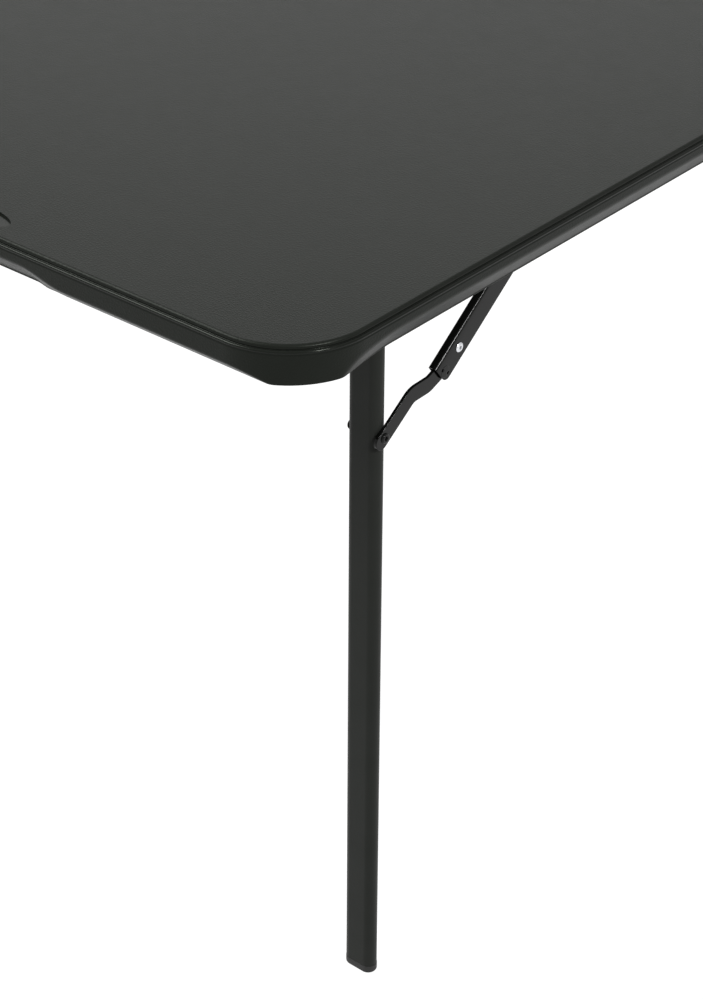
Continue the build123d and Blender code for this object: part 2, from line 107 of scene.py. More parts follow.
studio = bpy.data.worlds.new("studio")
studio.use_nodes = True
bpy.context.scene.world = studio
nodes, links = studio.node_tree.nodes, studio.node_tree.links
nodes.clear()
fill_light = nodes.new("ShaderNodeBackground")
fill_light.inputs["Strength"].default_value = 0.35
backdrop = nodes.new("ShaderNodeBackground")
backdrop.inputs["Strength"].default_value = 1.0
choose = nodes.new("ShaderNodeMixShader")
output = nodes.new("ShaderNodeOutputWorld")
links.new(seen_directly(nodes, links), choose.inputs["Fac"])
links.new(fill_light.outputs[0], choose.inputs[1])
links.new(backdrop.outputs[0], choose.inputs[2])
links.new(choose.outputs[0], output.inputs["Surface"])

floor_mesh = bpy.data.meshes.new("floor")
floor_mesh.from_pydata([(-9, -9, 0), (9, -9, 0), (9, 9, 0), (-9, 9, 0)], [], [(0, 1, 2, 3)])
floor = bpy.data.objects.new("floor", floor_mesh)
bpy.context.collection.objects.link(floor)
floor_paint = bpy.data.materials.new("studio floor")
floor_paint.use_nodes = True
nodes, links = floor_paint.node_tree.nodes, floor_paint.node_tree.links
nodes.clear()
glow = nodes.new("ShaderNodeEmission")
glow.inputs["Strength"].default_value = 0.88
matte = nodes.new("ShaderNodeBsdfDiffuse")
matte.inputs["Color"].default_value = (0.3, 0.3, 0.3, 1)
lit_glow = nodes.new("ShaderNodeAddShader")
bounce = nodes.new("ShaderNodeBsdfDiffuse")
bounce.inputs["Color"].default_value = (0.25, 0.25, 0.25, 1)
choose = nodes.new("ShaderNodeMixShader")
output = nodes.new("ShaderNodeOutputMaterial")
links.new(glow.outputs[0], lit_glow.inputs[0])
links.new(matte.outputs[0], lit_glow.inputs[1])
links.new(seen_directly(nodes, links), choose.inputs["Fac"])
links.new(bounce.outputs[0], choose.inputs[1])
links.new(lit_glow.outputs[0], choose.inputs[2])
links.new(choose.outputs[0], output.inputs["Surface"])
floor_mesh.materials.append(floor_paint)

# ---- Tabletop ----
# One blow-moulded shell of black polyethylene: a flat top with a fine leather grain, a groove and a
# smooth bead round its rim, and a skirt whose lower edge is bevelled back widely where a hand goes under it.
# Below, the lower skin is drawn up into cones that are tied to the upper one, with seats for the hardware.
corners = ["front_right", "back_right", "back_left", "front_left"]
top_low, top_high = [np.array(corner) * 1000 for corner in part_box("tabletop")]
half_width = top_high[0]
half_length = top_high[1]
table_height = top_high[2]
skirt_bottom = top_low[2]
panel_thickness = 20.2
underside = table_height - panel_thickness
corner_radius = 78.0
corner_steps = 72
skirt_wall = 17.5
cavity_radius = 2.0
grip_bevel = (18.0, 13.2)
narrow_bevel = (10.0, 10.5)
side_bevel = (18.8, 10.6)
narrow_run = 255.0
blend_run = 50.0
grip_half = half_width - narrow_run - blend_run
inset_half = grip_half + 8.0
inset_run = 18.0
side_start = 15.0
side_run = 110.0
bevel_softness = 1.6
lip_radius = 1.0
riser_inset = 2.9
roll_radius = 2.9
groove_depth = 4.3
groove_radius = 0.4
bead_height = 4.05
bead_radius = 1.8
crease_depth = 0.45
lip_height = 2.0


def joined(surfaces):
    """Several meshes as one: their places end to end, and their faces counted on to match."""
    starts = np.cumsum([0] + [len(points) for points, _ in surfaces])
    faces = []
    for start, (_, part_faces) in zip(starts, surfaces):
        faces += [[int(start) + corner for corner in face] for face in part_faces]
    return np.concatenate([points for points, _ in surfaces]), faces


def grid_faces(rows, columns):
    """Four-sided faces between neighbouring rows of a grid whose columns run round a closed loop."""
    row, column = np.mgrid[0 : rows - 1, 0:columns]
    following = (column + 1) % columns
    here, beside = row * columns + column, row * columns + following
    return np.stack([here, beside, beside + columns, here + columns], axis=-1).reshape(-1, 4).tolist()


def at_corner(points, corner):
    """Places at the front right corner, mirrored to where they are at another corner."""
    return points * (-1 if "left" in corner else 1, -1 if "back" in corner else 1, 1)


def add_piece(name, surfaces, body, replaced, material, crease=35):
    """A piece from surfaces in millimetres: doubles merged, faces turned outwards, and shaded smooth
    except across creases sharper than an angle in degrees."""
    points, faces = joined(surfaces)
    mesh = bpy.data.meshes.new(name)
    mesh.from_pydata((points / 1000).tolist(), [], faces)
    shell = bmesh.new()
    shell.from_mesh(mesh)
    bmesh.ops.remove_doubles(shell, verts=shell.verts, dist=0.000004)
    bmesh.ops.recalc_face_normals(shell, faces=shell.faces)
    shell.to_mesh(mesh)
    shell.free()
    mesh.shade_smooth()
    mesh.set_sharp_from_angle(angle=radians(crease))
    mesh.materials.append(material)
    piece = bpy.data.objects.new(name, mesh)
    bpy.context.collection.objects.link(piece)
    shading = piece.modifiers.new("even shading", "WEIGHTED_NORMAL")
    shading.keep_sharp = True
    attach(piece, body)
    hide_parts(*replaced)
    return piece


def flat_fill(loops, creases=()):
    """A flat face between closed loops, in triangles: the first loop is its edge and the others are its
    holes. Creases are pairs of places that a line of edges joins. Gives places in the plane, and faces."""
    points = np.concatenate(loops)
    edges = []
    start = 0
    for loop in loops:
        index = np.arange(len(loop))
        edges += (start + np.stack([index, (index + 1) % len(loop)], axis=1)).tolist()
        start += len(loop)
    for first, last in creases:
        ends = [int(np.argmin(np.hypot(*(points - np.array(end)).T))) for end in (first, last)]
        edges.append(ends)
    flat = delaunay_2d_cdt(points.tolist(), edges, [], 1, 0.0001)
    places = np.array([tuple(place) for place in flat[0]])
    triangles = np.array([list(face) for face in flat[2]])
    centers = places[triangles].mean(axis=1)
    kept = np.ones(len(triangles), dtype=bool)
    for loop in loops[1:]:
        # a centre is in the hole if a line to its right crosses the loop an odd number of times
        after = np.roll(loop, -1, axis=0)
        rise = np.where(after[:, 1] == loop[:, 1], 1.0, after[:, 1] - loop[:, 1])
        spans = (loop[:, 1] > centers[:, 1:]) != (after[:, 1] > centers[:, 1:])
        crossing = loop[:, 0] + (centers[:, 1:] - loop[:, 1]) / rise * (after[:, 0] - loop[:, 0])
        kept &= (spans & (centers[:, :1] < crossing)).sum(axis=1) % 2 == 0
    return places, triangles[kept].tolist()


def level_fill(loops, height):
    """A flat face at one height between closed loops."""
    plane, faces = flat_fill(loops)
    return np.column_stack([plane, np.full(len(plane), height)]), faces


def quarter_loop():
    """A quarter of the top's outline, from the middle of the right side to the middle of the back end: a
    straight run, a round corner, and a second straight run. Both runs are close-set where the bevel
    changes. Gives places and outward normals."""
    bevel_full = half_length - side_start - side_run
    up_side = np.concatenate([
        np.linspace(0, bevel_full, 20, endpoint=False),
        np.linspace(bevel_full, half_length - corner_radius, 24, endpoint=False),
    ])
    side = np.column_stack([np.full(len(up_side), half_width), up_side])
    angle = np.linspace(0, np.pi / 2, corner_steps, endpoint=False)
    spoke = np.column_stack([np.cos(angle), np.sin(angle)])
    corner = np.array((half_width, half_length)) - corner_radius + corner_radius * spoke
    blend_start = grip_half + blend_run
    across = np.concatenate([
        np.linspace(half_width - corner_radius, blend_start, 8, endpoint=False),
        np.linspace(blend_start, grip_half, 30, endpoint=False),
        np.linspace(grip_half, 0, 6, endpoint=False),
        [0.0],
    ])
    end = np.column_stack([across, np.full(len(across), half_length)])
    normals = [np.tile((1.0, 0.0), (len(side), 1)), spoke, np.tile((0.0, 1.0), (len(end), 1))]
    return np.concatenate([side, corner, end]), np.concatenate(normals)


def whole_loop(quarter):
    """A quarter of a loop and its three mirror images, end to end and anticlockwise."""
    pieces = [quarter, (quarter * (-1, 1))[::-1], -quarter, (quarter * (1, -1))[::-1]]
    return np.concatenate([piece[:-1] for piece in pieces])


edge_places, edge_normals = [whole_loop(part) for part in quarter_loop()]


def smooth_least(first, second, softness):
    """The lesser of two arrays, rounded where they cross: less by a quarter of the softness there."""
    overlap = np.maximum(softness - np.abs(first - second), 0) / softness
    return np.minimum(first, second) - overlap**2 * softness / 4


def eased(share):
    """A share from 0 to 1, which leaves both ends smoothly."""
    share = np.clip(share, 0, 1)
    return share**2 * (3 - 2 * share)


def skirt_face(height):
    """The skirt's outer loop at a height above its foot. Beside each side, a place may reach no further out
    than that side's bevel, which stands on an upright lip where it is wide. It is wide in the grip at the
    middle of each end, and along the sides, where it grows out of the round corner. The foot is rounded."""
    foot = max(lip_radius - height, 0)
    foot_inset = lip_radius - np.sqrt(lip_radius**2 - foot**2)
    places = edge_places - foot_inset * edge_normals
    across, along = np.abs(edge_places).T
    grip_share = 1 - eased((across - grip_half) / blend_run)
    deep_share = 1 - eased((across - inset_half) / inset_run)
    end_rise = narrow_bevel[0] + (grip_bevel[0] - narrow_bevel[0]) * grip_share
    end_inset = narrow_bevel[1] + (grip_bevel[1] - narrow_bevel[1]) * deep_share
    side_share = eased((half_length - along - side_start) / side_run)
    side_rise = side_bevel[0] * np.maximum(side_share, 0.05) ** 0.6
    end = (half_length, end_rise, end_inset, lip_height * grip_share)
    side = (half_width, side_rise, side_bevel[1] * side_share, lip_height * side_share)
    for outward, (half, rise, inset, lip) in (((1, 0), side), ((-1, 0), side), ((0, 1), end), ((0, -1), end)):
        outward = np.array(outward)
        reach = places @ outward - half
        allowed = -inset * np.minimum((rise - height) / (rise - lip), 1) - foot_inset
        places = places + (smooth_least(reach, allowed, bevel_softness) - reach)[:, None] * outward
    return places


def arc_rows(centre, radius, start, end, count):
    """Points of an arc in a section, angles in degrees from straight up towards the outside: (inset, height)."""
    angle = np.radians(np.linspace(start, end, count))
    return np.column_stack([centre[0] - radius * np.sin(angle), centre[1] + radius * np.cos(angle)])


rim_rows = np.concatenate([
    [(riser_inset + roll_radius + 1.2, 0.0)],
    arc_rows((riser_inset + roll_radius, -roll_radius), roll_radius, 0, 90, 13),
    np.column_stack([
        riser_inset - groove_radius * (1 - np.cos(np.radians(np.linspace(0, 90, 5)))),
        -groove_depth + groove_radius * (1 - np.sin(np.radians(np.linspace(0, 90, 5)))),
    ]),
    arc_rows((bead_radius, -bead_height - bead_radius), bead_radius, -18, 78, 14),
    np.column_stack([
        crease_depth * np.array([0.3, 0.75, 1.0, 1.0, 0.7, 0.25, 0.0]),
        np.array([-6.0, -6.3, -6.6, -6.95, -7.3, -7.7, -8.1]),
    ]),
])
skirt_heights = np.concatenate([
    [22.0, 21.0],
    np.arange(20.2, 2.9, -0.9),
    [2.6, 2.2, 1.95, 1.7, 1.4, 1.0, 0.75, 0.5, 0.3, 0.12, 0.03, 0.0],
])
inner_rows = np.concatenate([
    [(skirt_wall - 0.9, 0.0), (skirt_wall - 0.35, 0.15), (skirt_wall - 0.08, 0.45), (skirt_wall, 0.9)],
    [(skirt_wall, 6.0)],
    np.column_stack([
        skirt_wall + cavity_radius * (1 - np.cos(np.radians(np.linspace(0, 90, 6)))),
        underside - skirt_bottom - cavity_radius * (1 - np.sin(np.radians(np.linspace(0, 90, 6)))),
    ]),
])
rim = [(edge_places - inset * edge_normals, table_height + height) for inset, height in rim_rows]
skirt = [(skirt_face(height), skirt_bottom + height) for height in skirt_heights]
inside = [(edge_places - inset * edge_normals, skirt_bottom + height) for inset, height in inner_rows]
rings = rim + skirt + inside
shell_points = np.concatenate([np.column_stack([ring, np.full(len(ring), height)]) for ring, height in rings])
shell_surfaces = [(shell_points, grid_faces(len(rings), len(edge_places)))]


def sunk(outline, outward, profile, height, direction):
    """A recess whose wall follows a loop: each (outset, depth) of its profile is a ring of the wall.
    Gives the wall, and the last ring to close it with."""
    rows = [outline + outset * outward for outset, _ in profile]
    wall = np.concatenate([
        np.column_stack([row, np.full(len(row), height + direction * depth)])
        for row, (_, depth) in zip(rows, profile)
    ])
    return (wall, grid_faces(len(rows), len(outline))), rows


def rounded_box_loop(width, length, radius, steps=6):
    """A rectangle with round corners about the origin, anticlockwise, and its outward normals."""
    angle = np.radians(np.concatenate([np.linspace(0, 90, steps) + 90 * corner for corner in range(4)]))
    spoke = np.column_stack([np.cos(angle), np.sin(angle)])
    signs = np.repeat([(1, 1), (-1, 1), (-1, -1), (1, -1)], steps, axis=0)
    return signs * (np.array([width, length]) / 2 - radius) + radius * spoke, spoke


# the tack-off cones under the panel, each with a softly rounded mouth and foot
tack_spacing = 120.0
cone_profile = [
    (16.2, 0.0), (15.3, 0.12), (14.55, 0.6), (13.95, 1.5), (13.2, 3.0), (11.7, 6.5), (10.3, 10.0), (9.6, 11.2),
    (8.6, 11.85), (7.4, 12.0), (0.0, 12.0),
]
cone_angle = np.arange(36) * 2 * np.pi / 36
cone_spokes = np.column_stack([np.cos(cone_angle), np.sin(cone_angle)])
panel_holes = []
for column in range(-2, 3):
    for row in range(-10, 10):
        middle = np.array((column, row + 0.5)) * tack_spacing
        wall, rows = sunk(middle + 0 * cone_spokes, cone_spokes, cone_profile, underside, 1)
        shell_surfaces.append(wall)
        panel_holes.append(rows[0])

# the seats of the hinge plates and the pockets that take the folded braces, one of each per leg
hinge_low, hinge_high = [np.array(corner) * 1000 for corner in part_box("hinge_mount_front_right")]
seat_depth = hinge_high[2] - underside
seat_middle = (hinge_low[:2] + hinge_high[:2]) / 2
seat_size = hinge_high[:2] - hinge_low[:2] + 0.6
pocket_depth = 8.5
pocket_half = 6.3
joint_at = {joint["name"]: np.array(joint["pos_m"]) * 1000 for joint in frame["joints"]}
pivot = joint_at["channel_swing_front_right"]
pocket_low = pivot[:2] - (pocket_half, 130.408)
pocket_high = pivot[:2] + (pocket_half, 14.0)
for middle, size, radius, depth, flare in (
    (seat_middle, seat_size, 4.0, seat_depth, 0.6),
    ((pocket_low + pocket_high) / 2, pocket_high - pocket_low, 1.8, pocket_depth, 0.15),
):
    outline, outward = rounded_box_loop(size[0], size[1], radius)
    profile = [
        (flare, 0.0), (0.3 * flare, 0.12), (0.0, 0.5),
        (0.0, depth - 0.5), (-0.15, depth - 0.15), (-0.5, depth),
    ]
    wall, rows = sunk(outline + middle, outward, profile, underside, 1)
    ceiling = level_fill([rows[-1]], underside + depth)
    mouth_loop = np.column_stack([rows[0], np.zeros(len(outline))])
    for corner in corners:
        shell_surfaces.append((at_corner(wall[0], corner), wall[1]))
        shell_surfaces.append((at_corner(ceiling[0], corner), ceiling[1]))
        panel_holes.append(at_corner(mouth_loop, corner)[:, :2])
shell_surfaces.append(level_fill([rings[-1][0]] + panel_holes, underside))

# the bare shallow oval beside the front edge
oval_half = np.array((43.0, 14.0))
oval_middle = np.array((0.0, 23.6 - half_length))
oval_angle = np.arange(120) * 2 * np.pi / 120
oval_spokes = np.column_stack([np.cos(oval_angle), np.sin(oval_angle)])
oval_normals = oval_spokes / oval_half
oval_normals = oval_normals / np.hypot(*oval_normals.T)[:, None]
oval_depth = 2.0
oval_profile = [
    (0.4, 0.0), (0.12, 0.04), (0.0, 0.16),
    (0.0, oval_depth - 0.3), (-0.1, oval_depth - 0.08), (-0.35, oval_depth),
]
wall, rows = sunk(oval_middle + oval_half * oval_spokes, oval_normals, oval_profile, table_height, -1)
shell_surfaces.append(wall)
shell_surfaces.append(level_fill([rows[-1]], table_height - oval_depth))
shell_surfaces.append(level_fill([rings[0][0], rows[0]], table_height))


def finish_material(name, colour, roughness, specular):
    """A material with one main shader, and a reader for places on the piece, to build a finish on."""
    material = bpy.data.materials.new(name)
    material.use_nodes = True
    tree = material.node_tree
    shader = tree.nodes["Principled BSDF"]
    shader.inputs["Base Color"].default_value = (*colour, 1)
    shader.inputs["Roughness"].default_value = roughness
    shader.inputs["Specular IOR Level"].default_value = specular
    place = tree.nodes.new("ShaderNodeTexCoord").outputs["Object"]
    return material, tree, shader, place


def mottle(tree, place, scale, detail, low, high):
    """Noise of so many waves per metre, spread from a low to a high value."""
    noise = tree.nodes.new("ShaderNodeTexNoise")
    noise.inputs["Scale"].default_value = scale
    noise.inputs["Detail"].default_value = detail
    spread = tree.nodes.new("ShaderNodeMapRange")
    spread.inputs["From Min"].default_value = 0.3
    spread.inputs["From Max"].default_value = 0.7
    spread.inputs["To Min"].default_value = low
    spread.inputs["To Max"].default_value = high
    tree.links.new(place, noise.inputs["Vector"])
    tree.links.new(noise.outputs[0], spread.inputs["Value"])
    return spread.outputs[0]


def tinted(tree, shader, place, scale, dark, light):
    """The base colour wanders between two near shades, over patches of so many to the metre."""
    blend = tree.nodes.new("ShaderNodeMix")
    blend.data_type = "RGBA"
    first_colour, second_colour = blend.inputs[6], blend.inputs[7]
    first_colour.default_value = (*dark, 1)
    second_colour.default_value = (*light, 1)
    tree.links.new(mottle(tree, place, scale, 4, 0, 1), blend.inputs[0])
    blended_colour = blend.outputs[2]
    tree.links.new(blended_colour, shader.inputs["Base Color"])


def raised(tree, shader, height, depth):
    """Bumps on the surface from a height between 0 and 1, so many metres deep."""
    bump = tree.nodes.new("ShaderNodeBump")
    bump.inputs["Distance"].default_value = depth
    tree.links.new(height, bump.inputs["Height"])
    tree.links.new(bump.outputs[0], shader.inputs["Normal"])


def leather_grain(
    name, dark, light, roughness, specular, pebble, depth, smooth_middle=-1.0, smooth_reach=0.0, smooth_roughness=0.4
):
    """Moulded leather grain: rounded pebbles, from the distance to the creases between random cells, with
    a finer noise over them. Within reach of a height in metres it fades into a smooth, glossier band."""
    material, tree, shader, place = finish_material(name, light, roughness, specular)
    heights = tree.nodes.new("ShaderNodeSeparateXYZ")
    tree.links.new(place, heights.inputs[0])
    above_band = tree.nodes.new("ShaderNodeMath")
    above_band.operation = "SUBTRACT"
    above_band.inputs[1].default_value = smooth_middle
    tree.links.new(heights.outputs["Z"], above_band.inputs[0])
    from_band = tree.nodes.new("ShaderNodeMath")
    from_band.operation = "ABSOLUTE"
    tree.links.new(above_band.outputs[0], from_band.inputs[0])
    grained = tree.nodes.new("ShaderNodeMapRange")
    grained.inputs["From Min"].default_value = smooth_reach
    grained.inputs["From Max"].default_value = smooth_reach + 0.001
    tree.links.new(from_band.outputs[0], grained.inputs["Value"])
    cells = tree.nodes.new("ShaderNodeTexVoronoi")
    cells.feature = "DISTANCE_TO_EDGE"
    cells.inputs["Scale"].default_value = 1 / pebble
    tree.links.new(place, cells.inputs["Vector"])
    rounded = tree.nodes.new("ShaderNodeMapRange")
    rounded.interpolation_type = "SMOOTHSTEP"
    rounded.inputs["From Max"].default_value = 0.32
    tree.links.new(cells.outputs["Distance"], rounded.inputs["Value"])
    fine = mottle(tree, place, 2.2 / pebble, 3, 0, 0.5)
    height = tree.nodes.new("ShaderNodeMath")
    height.operation = "ADD"
    tree.links.new(rounded.outputs[0], height.inputs[0])
    tree.links.new(fine, height.inputs[1])
    raised(tree, shader, height.outputs[0], depth)
    tree.links.new(grained.outputs[0], shader.inputs["Normal"].links[0].from_node.inputs["Strength"])
    finish = tree.nodes.new("ShaderNodeMix")
    tree.links.new(grained.outputs[0], finish.inputs[0])
    tree.links.new(mottle(tree, place, 60, 3, smooth_roughness - 0.02, smooth_roughness + 0.02), finish.inputs[2])
    tree.links.new(mottle(tree, place, 60, 3, roughness - 0.015, roughness + 0.015), finish.inputs[3])
    tree.links.new(finish.outputs[0], shader.inputs["Roughness"])
    tinted(tree, shader, place, 60, dark, light)
    return material


moulded_resin = leather_grain(
    "moulded black resin", (0.0072, 0.0084, 0.0068), (0.0088, 0.0102, 0.0084), 0.38, 0.13, 0.0026, 0.00006,
    smooth_middle=table_height / 1000 - 0.0051, smooth_reach=0.0030, smooth_roughness=0.2,
)
moulded_resin.node_tree.nodes["Principled BSDF"].inputs["Specular Tint"].default_value = (0.93, 1.0, 0.89, 1)
add_piece("tabletop_shell", shell_surfaces, "top", ["tabletop"], moulded_resin)

# ---- Legs ----
# Each leg is a length of flat-oval steel tube with a 1.2 mm wall, powder coated satin black. Its bottom
# end is closed by the foot and its top end by the cast knuckle of its hinge.
leg_low, leg_high = [np.array(corner) * 1000 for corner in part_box("leg_tube_front_right")]
leg_middle = (leg_low + leg_high)[:2] / 2
leg_wide = leg_high[0] - leg_low[0]
leg_thin = leg_high[1] - leg_low[1]
leg_wall = 1.2


def oval_loop(wide, thin, inset, steps=17):
    """A flat oval's outline, so far inside a given one: two half circles joined by straight sides."""
    angle = np.radians(np.concatenate([np.linspace(-90, 90, steps), np.linspace(90, 270, steps)]))
    centre = np.repeat([1, -1], steps) * (wide - thin) / 2
    radius = thin / 2 - inset
    return np.column_stack([centre + radius * np.cos(angle), radius * np.sin(angle)])


def upright_oval(middle, wide, thin, rows):
    """A flat-oval section carried straight up: each row is how far inside the oval it lies, and its height."""
    loops = [middle + oval_loop(wide, thin, inset) for inset, _ in rows]
    count = len(loops[0])
    heights = np.repeat([height for _, height in rows], count)
    return np.column_stack([np.concatenate(loops), heights]), grid_faces(len(rows), count)


def powder_coat(name, dark, light, roughness, specular, peel_depth):
    """Sprayed powder or enamel on steel: an even shade with the faint orange peel of a baked coat."""
    material, tree, shader, place = finish_material(name, light, roughness, specular)
    raised(tree, shader, mottle(tree, place, 420, 2, 0, 1), peel_depth)
    tree.links.new(mottle(tree, place, 30, 3, roughness - 0.04, roughness + 0.04), shader.inputs["Roughness"])
    tinted(tree, shader, place, 22, dark, light)
    return material


leg_paint = powder_coat("satin leg paint", (0.022, 0.024, 0.021), (0.026, 0.028, 0.025), 0.42, 0.10, 0.00003)
bottom, top = leg_low[2], leg_high[2]
tube_rows = [
    (0.0, bottom + 0.3), (0.0, bottom + 60), (0.0, top - 60), (0.0, top - 0.3), (0.09, top - 0.09), (0.3, top),
    (leg_wall - 0.2, top), (leg_wall, top - 0.2), (leg_wall, bottom + 0.2), (leg_wall - 0.2, bottom),
    (0.3, bottom), (0.09, bottom + 0.09), (0.0, bottom + 0.3),
]
tube = upright_oval(leg_middle, leg_wide, leg_thin, tube_rows)
for corner in corners:
    surfaces = [(at_corner(tube[0], corner), tube[1])]
    add_piece("oval_tube_" + corner, surfaces, "leg_" + corner, ["leg_tube_" + corner], leg_paint)

# ---- Feet ----
# A plug of black polyethylene is driven into the bottom of each tube. It stands a little proud of the
# tube all round, and its lower edge is rounded where it meets the floor.
foot_low, foot_high = [np.array(corner) * 1000 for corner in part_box("foot_cap_front_right")]
foot_wide = foot_high[0] - foot_low[0]
foot_thin = foot_high[1] - foot_low[1]
tube_end = leg_low[2]
proud = 0.25
plug_inset = proud + leg_wall + 0.1
foot_rows = [
    (foot_thin / 2, 0.0), (4.5, 0.0), (2.0, 0.0), (1.25, 0.14), (0.6, 0.58), (0.14, 1.25), (0.0, 2.0),
    (0.0, tube_end - 0.5), (0.08, tube_end - 0.15), (0.3, tube_end), (plug_inset, tube_end),
    (plug_inset, foot_high[2] - 1.5), (plug_inset + 0.5, foot_high[2]), (foot_thin / 2, foot_high[2]),
]
foot = upright_oval(leg_middle, foot_wide, foot_thin, foot_rows)
foot_resin = leather_grain("foot resin", (0.020, 0.020, 0.020), (0.026, 0.026, 0.025), 0.5, 0.3, 0.0012, 0.00002)
for corner in corners:
    surfaces = [(at_corner(foot[0], corner), foot[1])]
    add_piece("foot_" + corner, surfaces, "leg_" + corner, ["foot_cap_" + corner], foot_resin)

# ---- Lower links of the braces ----
# A flat steel bar, 15 by 3 mm, blanked with round ends and bent twice in its own plane so that it nests
# in the channel when the leg is folded. It is enamelled gloss black, its blanked edges softly rounded.
elbow = joint_at["link_swing_front_right"]
brace_middle = elbow[0]
link_width = 15.0
link_thick = 3.0
link_bend_radius = 16.0
rivet_hole = 3.05
leg_rivet = elbow[1:] - (73.7, 31.6)
lower_bend = leg_rivet + (34.9, 24.7)
upper_bend = leg_rivet + (56.9, 25.3)
link_heel = leg_rivet - 4.0 * (lower_bend - leg_rivet) / np.hypot(*(lower_bend - leg_rivet))


def rounded_path(places, radii, steps=8):
    """A line through places with each corner rounded: an arc that touches both its runs, of its own radius.
    A radius of 0 keeps the place as it is, and the two ends always have that."""
    places = np.array(places, float)
    pieces = []
    for index, (here, radius) in enumerate(zip(places, radii)):
        if radius == 0:
            pieces.append(here[None])
            continue
        back = places[index - 1] - here
        onward = places[index + 1] - here
        back, onward = back / np.hypot(*back), onward / np.hypot(*onward)
        half_angle = np.arccos(np.clip(back @ onward, -1, 1)) / 2
        middle = (back + onward) / np.hypot(*(back + onward))
        centre = here + middle * radius / np.sin(half_angle)
        reach = radius / np.tan(half_angle)
        first, last = here + back * reach - centre, here + onward * reach - centre
        sweep = np.pi - 2 * half_angle
        share = np.linspace(0, 1, steps + 1)[:, None]
        pieces.append(centre + (np.sin((1 - share) * sweep) * first + np.sin(share * sweep) * last) / np.sin(sweep))
    return np.concatenate(pieces)


def loop_normals(loop):
    """At each place of a loop, the unit normal to the right of travel: out of an anticlockwise outline."""
    ahead, behind = np.roll(loop, -1, axis=0) - loop, loop - np.roll(loop, 1, axis=0)
    ahead, behind = ahead / np.hypot(*ahead.T)[:, None], behind / np.hypot(*behind.T)[:, None]
    along = ahead + behind
    along = along / np.hypot(*along.T)[:, None]
    return np.column_stack([along[:, 1], -along[:, 0]])


def blanked(loops, thick, edge, shape, creases=()):
    """A blank of plate between its outline, anticlockwise, and its holes, clockwise. Both faces are flat
    fills and the edges are rounded off; shape then carries (along, across, through) into its place."""
    normals = [loop_normals(loop) for loop in loops]
    angle = np.radians(np.linspace(0, 90, 4))
    inset = edge * (1 - np.sin(angle))
    level = thick / 2 - edge * (1 - np.cos(angle))
    insets, levels = np.concatenate([inset, inset[::-1]]), np.concatenate([level, -level[::-1]])
    surfaces = []
    for loop, normal in zip(loops, normals):
        rows = loop[None] - insets[:, None, None] * normal[None]
        through = np.repeat(levels, len(loop))
        flat = rows.reshape(-1, 2)
        surfaces.append((shape(flat[:, 0], flat[:, 1], through), grid_faces(len(insets), len(loop))))
    plane, faces = flat_fill([loop - edge * normal for loop, normal in zip(loops, normals)], creases)
    for side in (thick / 2, -thick / 2):
        surfaces.append((shape(plane[:, 0], plane[:, 1], np.full(len(plane), side)), faces))
    return surfaces


def round_hole(centre, radius, steps=24):
    """A round hole's loop, clockwise."""
    angle = -np.arange(steps) * 2 * np.pi / steps
    return np.array(centre) + radius * np.column_stack([np.cos(angle), np.sin(angle)])


def ribbon_outline(path, width, steps=14):
    """The outline of a bar of even width along a path, with half-round ends, anticlockwise."""
    ahead = np.gradient(path, axis=0)
    ahead = ahead / np.hypot(*ahead.T)[:, None]
    beside = np.column_stack([-ahead[:, 1], ahead[:, 0]]) * width / 2
    angle = np.linspace(0, np.pi, steps + 1)[1:-1, None]
    far_end = path[-1] + np.cos(angle) * -beside[-1] + np.sin(angle) * ahead[-1] * width / 2
    near_end = path[0] + np.cos(angle) * beside[0] - np.sin(angle) * ahead[0] * width / 2
    return np.concatenate([path - beside, far_end, (path + beside)[::-1], near_end])


def in_fold_plane(along, up, through):
    """A blank stood in the plane that the leg folds in, its thickness through the brace's middle layer."""
    return np.column_stack([brace_middle + through, along, up])


link_path = rounded_path([link_heel, lower_bend, upper_bend, elbow[1:]], [0, link_bend_radius, link_bend_radius, 0])
link_loops = [
    ribbon_outline(link_path, link_width), round_hole(leg_rivet, rivet_hole), round_hole(elbow[1:], rivet_hole),
]
link = blanked(link_loops, link_thick, 0.45, in_fold_plane)
brace_paint = powder_coat(
    "gloss brace enamel", (0.0045, 0.0048, 0.0042), (0.0060, 0.0063, 0.0057), 0.11, 0.17, 0.000006
)
for corner in corners:
    surfaces = [(at_corner(points, corner), faces) for points, faces in link]
    body, replaced = "link_" + corner, ["lower_link_" + corner]
    add_piece("brace_link_" + corner, surfaces, body, replaced, brace_paint)

# ---- Brace channels ----
# A U pressed from 1.2 mm sheet, hung from its bracket at the upper end and carrying the elbow at the
# lower one. Its web faces the leg and the top; it is blanked flat, folded twice, and enamelled gloss black.
sheet = 1.2
channel_half = 4.5
fold_radius = 2.3
web_half = channel_half - fold_radius - sheet / 2
web_offset = 12.9
flange_start = web_half + fold_radius * np.pi / 2
channel_length = np.hypot(*(pivot - elbow)[1:])
mouth = channel_length + 5.9
web_start = 16.0
open_edge = 9.3
inner_edge = 5.9
channel_direction = (elbow - pivot)[1:] / channel_length
from_web = np.array((-channel_direction[1], channel_direction[0]))


def across_blank(offset):
    """How far across the flat blank a flange's line lies that ends up so far from the pivots' line."""
    return flange_start + offset + web_offset - sheet / 2 - fold_radius


